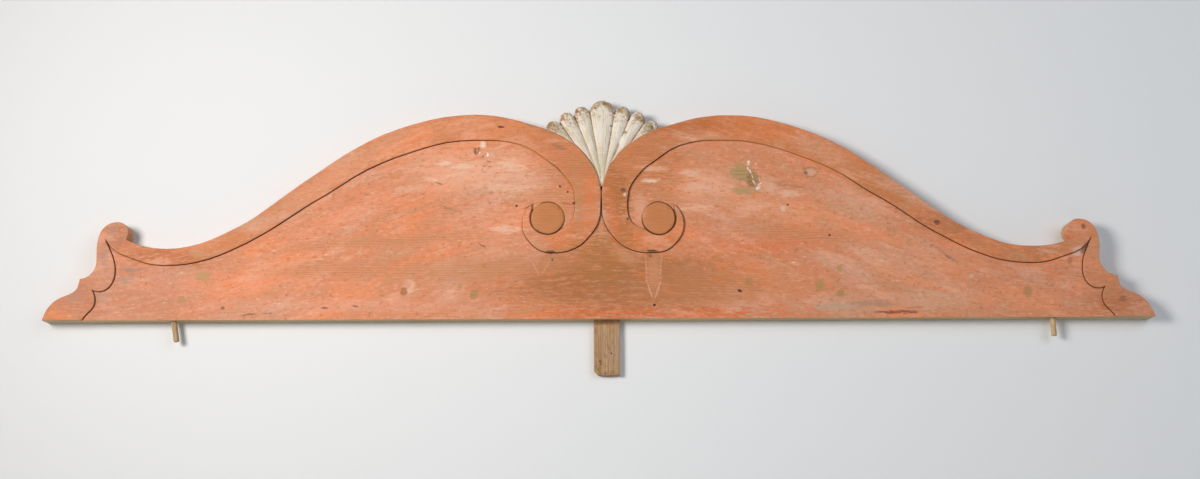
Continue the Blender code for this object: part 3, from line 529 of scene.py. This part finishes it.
def painted_pine():
    """Thin matt oil paint brushed on planed pine, worn through to the wood in places."""
    # Old thin paint has no gloss, and shows the brush and the wood's fibres as fine streaks
    material, tree, shader = new_finish("worn orange paint on pine", 0.62, 0.3)
    place = add_node(tree, "TexCoord", output="Object")
    facing = add_node(tree, "TexCoord", output="Normal")
    facing_back = add_node(tree, "SeparateXYZ", {0: facing}, "Y")
    facing_up = add_node(tree, "SeparateXYZ", {0: facing}, "Z")
    across = add_node(tree, "SeparateXYZ", {0: place}, "X")
    depth = add_node(tree, "SeparateXYZ", {0: place}, "Y")
    height = add_node(tree, "SeparateXYZ", {0: place}, "Z")

    # The brush followed the board's own hill, level in the middle and at both ends
    swing = {0: across, 1: math.pi / BRUSH_HILL_HALF}
    swing = add_node(tree, "Math", swing, operation="MULTIPLY")
    swing = add_node(tree, "Math", {0: swing}, operation="COSINE")
    hill = {0: swing, 1: -BRUSH_HILL_HEIGHT, 2: height}
    hill = add_node(tree, "Math", hill, operation="MULTIPLY_ADD")
    brushed = add_node(tree, "CombineXYZ", {"X": across, "Y": depth, "Z": hill})

    clouds = drawn_out(tree, brushed, 150, 50, 3.0)
    patches = drawn_out(tree, brushed, 60, 22, 4.0, start=4.0)
    strokes = drawn_out(tree, brushed, 42, 5.0, 5.0, 0.66)
    rubs = drawn_out(tree, brushed, 22, 5.4, 5.0, 0.66, start=11.0)
    dabs = drawn_out(tree, place, 8, 5.0, 4.0, 0.7, start=17.0)
    # Fibres and grit are well under 1 mm, and are drawn 2 and 3 mm across so that they show
    fibres = drawn_out(tree, place, 34, 2.0, 3.0, 0.7, start=6.0)
    grit = add_node(tree, "TexNoise", {"Vector": place, "Scale": 330.0, "Detail": 2.0})
    # The rings are about 3 mm apart, and are drawn at 4 mm so that they show
    rings = growth_rings(tree, place, 4.0)

    # The bands are a browner orange than the ground
    band_starts, band_full = GROUND - 0.0012, FRONT + 0.0012
    colour = coated(tree, linear("D88B63"), "D08050", depth, band_starts, band_full)
    colour = coated(tree, colour, "F08D5A", clouds, 0.50, 0.64, 0.65)
    colour = coated(tree, colour, "D9A489", clouds, 0.47, 0.34, 0.65)

    # Broad tones first, then the brush's streaks and the dabs and scrapes of wear
    worn = worn_places(tree, place)
    for tone in TONES:
        colour = marked(tree, colour, worn, tone)

    colour = coated(tree, colour, "C9906A", patches, 0.53, 0.68, 0.45)
    colour = coated(tree, colour, "F0AD8C", patches, 0.47, 0.32, 0.5)
    colour = coated(tree, colour, "EBAE8E", strokes, 0.54, 0.70, 0.6)
    colour = coated(tree, colour, "E67C44", strokes, 0.46, 0.30, 0.6)
    colour = coated(tree, colour, "BC7C4E", rubs, 0.55, 0.72, 0.45)
    colour = coated(tree, colour, "EFA683", rubs, 0.45, 0.28, 0.4)
    colour = coated(tree, colour, "F0B596", dabs, 0.55, 0.72, 0.5)
    colour = coated(tree, colour, "A8653F", dabs, 0.46, 0.28, 0.6)
    pale_scrapes = drawn_out(tree, place, 16, 3.0, 6.0, 0.75, start=31.0)
    colour = coated(tree, colour, "F1CBB4", pale_scrapes, 0.59, 0.70, 0.75)
    colour = coated(tree, colour, "8F5A40", pale_scrapes, 0.37, 0.27, 0.6)

    # Thin paint breaks up along the rubs, and shows the rings and a few orange remnants
    thin = 0.0
    for area in THIN_PAINT:
        inside = depth_inside(tree, worn, area)
        easing = {"Value": rubs, "From Min": 0.74, "From Max": 0.44, "To Max": area.strength}
        most = add_node(tree, "MapRange", easing, interpolation_type="SMOOTHSTEP")
        most = area.strength if area.edge == "crisp" else most
        colour = coated(tree, colour, area.colour, inside, MARK_EDGE, full_depth(area), most)
        thin = add_node(tree, "Math", {0: thin, 1: inside}, operation="MAXIMUM")
    easing = {"Value": thin, "From Min": MARK_EDGE, "To Min": 0.02, "To Max": 0.24}
    most = add_node(tree, "MapRange", easing, interpolation_type="SMOOTHSTEP")
    colour = coated(tree, colour, "95602F", rings, 0.35, 0.9, most)
    easing = {"Value": thin, "From Min": MARK_EDGE, "To Min": 0.1, "To Max": 0.8}
    most = add_node(tree, "MapRange", easing, interpolation_type="SMOOTHSTEP")
    colour = coated(tree, colour, "D8763C", strokes, 0.55, 0.70, most)
    colour = coated(tree, colour, "9A7044", fibres, 0.46, 0.30, 0.3)

    for spot in SPOTS:
        colour = marked(tree, colour, worn, spot)
    colour = coated(tree, colour, "5A3A2C", grit, 0.70, 0.78, 0.6)
    colour = coated(tree, colour, "F6E2D2", grit, 0.28, 0.20, 0.6)

    # Dust in the knife lines, lightened as a painted highlight where their steps face the light, and
    # bare wood where their edges and the arrises have been rubbed
    cut = add_node(tree, "Attribute", output="Fac", attribute_name="knife_line")
    dust = linear("3B2818")
    for pale in KNIFE_LINE_WOOD_AND_HIGHLIGHTS:
        dust = marked(tree, dust, worn, pale)
    colour = coated(tree, colour, dust, cut, 0.0, 0.9, 0.92)
    rubbed = add_node(tree, "Attribute", output="Fac", attribute_name="arris")
    easing = {"Value": rubs, "From Min": 0.38, "From Max": 0.60, "To Max": 0.8}
    most = add_node(tree, "MapRange", easing, interpolation_type="SMOOTHSTEP")
    colour = coated(tree, colour, "BE9468", rubbed, 0.0, 1.0, most)

    # The sawn edges took less paint towards the back, and the underside and back took none
    wood = bare_wood(tree, place, "D2B88C", "C0A476", "9C8258")[0]
    to_back = add_node(tree, "Math", {0: patches, 1: 0.02, 2: depth}, operation="MULTIPLY_ADD")
    colour = coated(tree, colour, wood, to_back, 0.012, 0.022)
    easing = {"Value": facing_up, "From Min": -0.75, "From Max": -0.9}
    most = add_node(tree, "MapRange", easing, interpolation_type="SMOOTHSTEP")
    colour = coated(tree, colour, wood, height, 0.002, 0.001, most)
    colour = coated(tree, colour, wood, facing_back, 0.5, 0.8)

    lie = add_node(tree, "Math", {0: fibres, 1: strokes}, operation="ADD")
    lie = add_node(tree, "Math", {0: grit, 1: 0.5, 2: lie}, operation="MULTIPLY_ADD")
    bump = add_node(tree, "Bump", {"Height": lie, "Strength": 0.35, "Distance": 0.0005})
    tree.links.new(colour, shader.inputs["Base Color"])
    tree.links.new(bump, shader.inputs["Normal"])
    return material


def grained_pine(name, light, middle, dark, upright):
    """Bare pine whose fibres run up the piece if it is upright, darker in its hollows."""
    # Bare wood is dull all over, and its raised fibres catch the light in fine upright lines
    material, tree, shader = new_finish(name, 0.78, 0.25)
    place = add_node(tree, "TexCoord", output="Object")
    turned = add_node(
        tree, "Mapping", {"Vector": place, "Rotation": (0, math.radians(90 * upright), 0)}
    )
    colour, fibres = bare_wood(tree, turned, light, middle, dark)
    # Darker where the surface lies below its surroundings
    cavity = add_node(tree, "Attribute", output="Fac", attribute_name="cavity")
    colour = coated(tree, colour, "5E452E", cavity, 0.15, 0.8, 0.8)
    bump = add_node(tree, "Bump", {"Height": fibres, "Strength": 0.5, "Distance": 0.0004})
    tree.links.new(bump, shader.inputs["Normal"])
    return material, tree, shader, place, colour


def batten_pine():
    """The batten's pine, stained at its foot, darkened with painted shade at its top under the
    board, and spotted by old nails.
    """
    material, tree, shader, place, colour = grained_pine(
        "bare aged pine", "C29F7A", "AD8760", "8A6643", 1
    )
    worn = worn_places(tree, place)
    for spot in BATTEN_SPOTS:
        colour = marked(tree, colour, worn, spot)
    tree.links.new(colour, shader.inputs["Base Color"])
    return material


def dowel_wood(name, light, middle, dark):
    """A whittled dowel of bare wood, which shows its fibres and is darker between its flats."""
    material, tree, shader, place, colour = grained_pine(name, light, middle, dark, 1)
    tree.links.new(colour, shader.inputs["Base Color"])
    return material


def worn_white_paint():
    """Chalky white paint, brown where it has chipped off the tips, and darker along the grooves."""
    # Chalky paint scatters the light evenly, so the carving reads by its shade and by the colour
    # darkened along its grooves
    material, tree, shader = new_finish("worn white paint on carved pine", 0.72, 0.3)
    place = add_node(tree, "TexCoord", output="Object")
    offset = add_node(tree, "VectorMath", {0: place, 1: FAN_CENTRE}, operation="SUBTRACT")
    flat = add_node(tree, "VectorMath", {0: offset, 1: (1, 0, 1)}, operation="MULTIPLY")
    out = add_node(tree, "VectorMath", {0: flat}, "Value", operation="LENGTH")
    x = add_node(tree, "SeparateXYZ", {0: flat}, "X")
    z = add_node(tree, "SeparateXYZ", {0: flat}, "Z")
    turn = add_node(tree, "Math", {0: x, 1: z}, operation="ARCTAN2")
    # Along a rib and round the fan, so that patterns run out with the ribs
    ribwise = add_node(tree, "CombineXYZ", {"X": out, "Y": 0.0, "Z": turn})
    along = add_node(tree, "Mapping", {"Vector": ribwise, "Scale": (30.0, 1.0, 36.0)})
    run = add_node(tree, "TexNoise", {"Vector": along, "Scale": 1.0, "Detail": 5.0}, "Fac")
    # Flecks of lost paint about 4 mm across, and blots about 13 mm across
    flecks = add_node(
        tree, "TexNoise", {"Vector": place, "Scale": 260.0, "Detail": 4.0, "Roughness": 0.6}
    )
    blots = add_node(tree, "TexNoise", {"Vector": place, "Scale": 75.0, "Detail": 4.0})

    colour = coated(tree, linear("E9DECD"), "CDBBA0", run, 0.48, 0.64, 0.9)
    colour = coated(tree, colour, "E4CFC4", blots, 0.50, 0.66, 0.6)
    # Darker along the grooves, where the surface lies below its surroundings, and in streaks down
    # the ribs
    cavity = add_node(tree, "Attribute", output="Fac", attribute_name="cavity")
    grooves = add_node(tree, "Math", {0: run, 1: 0.7, 2: cavity}, operation="MULTIPLY_ADD")
    colour = coated(tree, colour, "A08259", grooves, 0.40, 0.78, 0.95)
    colour = coated(tree, colour, "5E4329", grooves, 0.72, 1.10, 0.9)
    # The further out, the more paint is lost
    loss = add_node(tree, "Math", {0: out, 1: 1 / FAN_REACH}, operation="MULTIPLY")
    loss = add_node(tree, "Math", {0: flecks, 1: 0.75, 2: loss}, operation="MULTIPLY_ADD")
    loss = add_node(tree, "Math", {0: blots, 1: 0.55, 2: loss}, operation="MULTIPLY_ADD")
    colour = coated(tree, colour, "B3946C", loss, 1.46, 1.60, 0.85)
    colour = coated(tree, colour, "7C5A38", loss, 1.60, 1.74, 0.8)
    worn = worn_places(tree, place)
    for spot in FAN_SPOTS:
        colour = marked(tree, colour, worn, spot)
    bump = add_node(tree, "Bump", {"Height": loss, "Strength": 0.6, "Distance": 0.0008})
    tree.links.new(colour, shader.inputs["Base Color"])
    tree.links.new(bump, shader.inputs["Normal"])
    return material


def merged_copy(node):
    """The CAD node's shape as a bmesh, its loose triangles merged."""
    shape = bmesh.new()
    shape.from_mesh(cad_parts[node].data)
    bmesh.ops.remove_doubles(shape, verts=shape.verts, dist=MERGE)
    return shape


def new_object(name, shape, material=None):
    """An object in the scene from a bmesh, which is used up."""
    mesh = bpy.data.meshes.new(name)
    shape.to_mesh(mesh)
    shape.free()
    if material:
        mesh.materials.append(material)
    obj = bpy.data.objects.new(name, mesh)
    bpy.context.scene.collection.objects.link(obj)
    return obj


def dressed(name, shape, material, node):
    """A finished piece from a bmesh, which stands in for a CAD node, hides it and hangs from the
    root body.
    """
    piece = new_object(name, shape, material)
    piece.data.shade_smooth()
    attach(piece, "root")
    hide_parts(node)
    return piece


def knife_lines(shape):
    """Cuts a V along the foot of every step and marks it for the dirt that fills it and the painted
    highlight on its lit stretches.
    """
    cut = shape.verts.layers.float.new("knife_line")
    ground = [
        face
        for face in shape.faces
        if face.normal.y < -0.99 and abs(face.calc_center_median().y - GROUND) < MERGE * 10
    ]
    border = bmesh.ops.inset_region(
        shape, faces=ground, thickness=KNIFE_LINE_WIDTH, use_boundary=True, use_even_offset=True
    )["faces"]
    inside = {vert for face in ground for vert in face.verts}
    for vert in {vert for face in border for vert in face.verts} - inside:
        if vert.co.z > KNIFE_LINE_WIDTH:
            vert[cut] = 1.0
            vert.co.y += KNIFE_LINE_DEPTH


def arris_edges(shape, plane, facing, sharper_than=25.0):
    """The outward corners between the faces in this upright plane and their neighbours."""
    found = []
    for edge in shape.edges:
        if len(edge.link_faces) != 2 or not edge.is_convex:
            continue
        if any(abs(vert.co.y - plane) > MERGE * 10 for vert in edge.verts):
            continue
        if edge.calc_face_angle(0.0) > math.radians(sharper_than):
            if any(face.normal.y * facing > 0.99 for face in edge.link_faces):
                found.append(edge)
    return [edge for edge in found if not ends_in_a_tip(edge, set(found))]


def ends_in_a_tip(edge, edges):
    """Whether the edge meets another of these at a sharp angle, where a bevel would shoot out."""
    for vert in edge.verts:
        along = edge.other_vert(vert).co - vert.co
        for other in vert.link_edges:
            if other is not edge and other in edges:
                if along.angle(other.other_vert(vert).co - vert.co) < math.radians(TIP_ANGLE):
                    return True
    return False


def soften_arrises(shape):
    """Rounds the front and back arrises, and marks their middles as rubbed."""
    rubbed = shape.verts.layers.float.new("arris")
    for plane, facing, width in ((FRONT, -1, FRONT_ARRIS), (BACK, 1, BACK_ARRIS)):
        made = bmesh.ops.bevel(
            shape,
            geom=arris_edges(shape, plane, facing),
            offset=width,
            offset_type="WIDTH",
            segments=2,
            profile=0.5,
            affect="EDGES",
            material=-1,
            clamp_overlap=False,
        )
        rounded = set(made["faces"])
        for vert in made["verts"]:
            if all(face in rounded for face in vert.link_faces):
                vert[rubbed] = 1.0


def cut_into_cells(shape, cell):
    """Cuts the big flat faces into cells, so that they can be made uneven."""
    for axis in (0, 2):
        low = min(vert.co[axis] for vert in shape.verts)
        high = max(vert.co[axis] for vert in shape.verts)
        count = int((high - low) / cell)
        normal = Vector((axis == 0, 0, axis == 2))
        for step in range(1, count):
            point = normal * (low + (high - low) * step / count)
            geometry = [*shape.verts, *shape.edges, *shape.faces]
            bmesh.ops.bisect_plane(shape, geom=geometry, dist=MERGE, plane_co=point, plane_no=normal)


def made_uneven(shape):
    """The slight hollows of hand planing and the wander of a hand saw, but a level underside."""
    for vert in shape.verts:
        at = vert.co
        hollow = noise.noise(Vector((at.x / 0.13, at.y / 0.02, at.z / 0.045)))
        ripple = noise.noise(Vector((at.x / 0.035 + 9, at.y / 0.01, at.z / 0.016)))
        across = noise.noise(Vector((at.x / 0.030, 5.0, at.z / 0.030)))
        along = noise.noise(Vector((at.x / 0.024, 11.0, at.z / 0.024)))
        free = min(1.0, max(0.0, at.z / LEVEL_FOOT))
        depth = HOLLOW_DEPTH * hollow + RIPPLE_DEPTH * ripple
        vert.co += Vector((WANDER_ALONG * across, depth, WANDER_UP * along * free))


def painted_board():
    """The board: knife lines at its steps, rounded arrises and slightly uneven faces."""
    shape = merged_copy("scroll_board")
    bmesh.ops.dissolve_limit(
        shape, angle_limit=math.radians(FLAT_ANGLE), verts=shape.verts, edges=shape.edges
    )
    knife_lines(shape)
    soften_arrises(shape)
    cut_into_cells(shape, UNEVEN_CELL)
    made_uneven(shape)
    board = dressed("painted_board", shape, painted_pine(), "scroll_board")
    board.data.set_sharp_from_angle(angle=math.radians(SHARP_ANGLE))
    even = board.modifiers.new("even shading", "WEIGHTED_NORMAL")
    even.keep_sharp = True


def fine_skin(node, voxel, rounds):
    """The CAD node's shape under an even fine skin, softened by some rounds of smoothing."""
    rough = new_object("rough " + node, merged_copy(node))
    skin = rough.modifiers.new("fine skin", "REMESH")
    skin.mode = "VOXEL"
    skin.voxel_size = voxel
    graph = bpy.context.evaluated_depsgraph_get()
    shape = bmesh.new()
    shape.from_mesh(rough.evaluated_get(graph).to_mesh())
    bpy.data.objects.remove(rough)
    smoothed(shape, rounds)
    return shape


def smoothed(shape, rounds):
    """Draws each point towards its neighbours, some rounds over."""
    for _ in range(rounds):
        bmesh.ops.smooth_vert(
            shape,
            verts=shape.verts,
            factor=0.5,
            use_axis_x=True,
            use_axis_y=True,
            use_axis_z=True,
        )


def mark_cavities(shape, rounds, depth):
    """Marks each point with how far it lies below the surface round it, as a share of depth."""
    layer = shape.verts.layers.float.new("cavity")
    even = shape.copy()
    smoothed(even, rounds)
    even.verts.ensure_lookup_table()
    for vert in shape.verts:
        below = (even.verts[vert.index].co - vert.co).dot(vert.normal)
        vert[layer] = max(-1.0, min(1.0, below / depth))
    even.free()


def carved_fan():
    """The shell: tool marks down its ribs, chips out of their tips, its foot let into the notch."""
    shape = fine_skin("carved_shell", FAN_SKIN, 3)
    shape.normal_update()
    for vert in shape.verts:
        out = Vector((vert.co.x - FAN_CENTRE.x, vert.co.z - FAN_CENTRE.z))
        vert.co.z -= FOOT_LENGTH * max(0.0, 1 - (vert.co.z - FAN_BOTTOM) / FOOT_HEIGHT)
        turn = math.atan2(out.x, out.y)
        tool = noise.noise(Vector((out.length / 0.035, turn * 24, 3.0)))
        lump = noise.noise(vert.co / 0.009)
        chip = noise.noise(vert.co / 0.0045 + Vector((7, 0, 0)))
        at_tip = min(1.0, max(0.0, (out.length - FAN_TIPS_START) / FAN_TIPS_LENGTH))
        lost = max(0.0, chip - 0.05) * at_tip
        vert.co += vert.normal * (GOUGE_DEPTH * tool + LUMP_HEIGHT * lump - CHIP_DEPTH * lost)
    smoothed(shape, 1)
    shape.normal_update()
    mark_cavities(shape, 14, 0.0007)
    dressed("carved_fan", shape, worn_white_paint(), "carved_shell")


def batten():
    """The batten: planed faces with raised grain, its sawn end broken a little."""
    shape = fine_skin("centre_tongue", BATTEN_SKIN, 2)
    shape.normal_update()
    for vert in shape.verts:
        grain = noise.noise(Vector((vert.co.x / 0.0025, vert.co.y / 0.0025, vert.co.z / 0.06)))
        lump = noise.noise(Vector((vert.co.x / 0.02, 1.0, vert.co.z / 0.05)))
        end = max(0.0, 1 - (vert.co.z - BATTEN_BOTTOM) / BATTEN_END)
        ragged = noise.noise(Vector((vert.co.x / 0.003, vert.co.y / 0.003, 4.0)))
        vert.co += vert.normal * (RAISED_GRAIN * grain + BATTEN_LUMP * lump)
        vert.co.z += end * RAGGED_END * ragged
    shape.normal_update()
    mark_cavities(shape, 8, 0.0005)
    dressed("batten", shape, batten_pine(), "centre_tongue")


def dowel(name, node, finish):
    """A dowel with the flats of a knife on it and a worn end."""
    shape = fine_skin(node, DOWEL_SKIN, 3)
    shape.normal_update()
    for vert in shape.verts:
        flats = noise.noise(Vector((vert.co.x / 0.004, vert.co.y / 0.004, vert.co.z / 0.02)))
        vert.co += vert.normal * KNIFE_FLATS * flats
    shape.normal_update()
    mark_cavities(shape, 6, 0.0004)
    dressed(name, shape, finish, node)


def add_stage():
    """A pale wall that the board hangs on, seen only from the front, and a pale floor below."""
    material, tree, shader = new_finish("matt pale wall", 0.9, 0.2)
    shader.inputs["Base Color"].default_value = linear("EBEBEB")
    # The wall is clear from behind and to what touches it, so that the board's back can be seen
    behind = add_node(tree, "NewGeometry", output="Backfacing")
    gap = add_node(tree, "LightPath", output="Ray Length")
    touching = add_node(tree, "Math", {0: gap, 1: WALL_TOUCH}, operation="LESS_THAN")
    open_here = add_node(tree, "Math", {0: behind, 1: touching}, operation="MAXIMUM")
    clear = add_node(tree, "BsdfTransparent")
    wall_or_clear = add_node(tree, "MixShader", {0: open_here, 1: shader.outputs[0], 2: clear})
    tree.links.new(wall_or_clear, tree.nodes["Material Output"].inputs["Surface"])
    for name, place, turn in (
        ("wall", (0, BACK + WALL_GAP, 0.6), (math.radians(90), 0, 0)),
        ("floor", (0, -2.0, -1.4), (0, 0, 0)),
    ):
        shape = bmesh.new()
        bmesh.ops.create_grid(shape, x_segments=1, y_segments=1, size=WALL_HALF)
        sheet = new_object(name, shape, material)
        sheet.location = place
        sheet.rotation_euler = turn


def add_light(name, place, target, size, power, colour="FFFFFF"):
    """A round soft light in its place, turned to its target."""
    light = bpy.data.lights.new(name, "AREA")
    light.shape = "DISK"
    light.spread = math.radians(LIGHT_SPREAD)
    light.size = size
    light.energy = power
    light.color = linear(colour)[:3]
    lamp = bpy.data.objects.new(name, light)
    lamp.location = place
    lamp.rotation_euler = (Vector(target) - Vector(place)).to_track_quat("-Z", "Y").to_euler()
    bpy.context.scene.collection.objects.link(lamp)


def add_camera_and_light():
    """The camera at the photograph's angle, two soft lights, a fill for the back, and the room."""
    camera = bpy.data.cameras.new("camera")
    camera.lens = LENS
    camera.sensor_width = SENSOR_WIDTH
    camera.sensor_fit = "HORIZONTAL"
    viewer = bpy.data.objects.new("camera", camera)
    viewer.matrix_world = camera_matrix()
    bpy.context.scene.collection.objects.link(viewer)
    bpy.context.scene.camera = viewer
    softbox = (-1.35, FRONT - 1.6, 0.3)
    add_light("softbox on the left", softbox, (0.9, 0, 0.2), 0.8, 23.5, "FFFCF8")
    add_light("window on the right", (1.9, -2.4, 0.9), (0.5, 0, 0.1), 2.4, 19.5, "E6F0FB")
    add_light("wide fill behind", (-0.8, 2.4, 1.0), (0, 0, 0.1), 2.0, 14)
    world = bpy.data.worlds.new("soft room light")
    world.use_nodes = True
    world.node_tree.nodes["Background"].inputs["Color"].default_value = linear("EFF0F2")
    world.node_tree.nodes["Background"].inputs["Strength"].default_value = 0.13
    bpy.context.scene.world = world
    bpy.context.scene.view_settings.view_transform = "Standard"


add_camera_and_light()
add_stage()
painted_board()
carved_fan()
batten()
dowel("left_dowel", "left_pin", dowel_wood("grey dowel", "C6A681", "B49670", "96784F"))
dowel("right_dowel", "right_pin", dowel_wood("pale dowel", "E0BF93", "CDAE86", "AE8F68"))
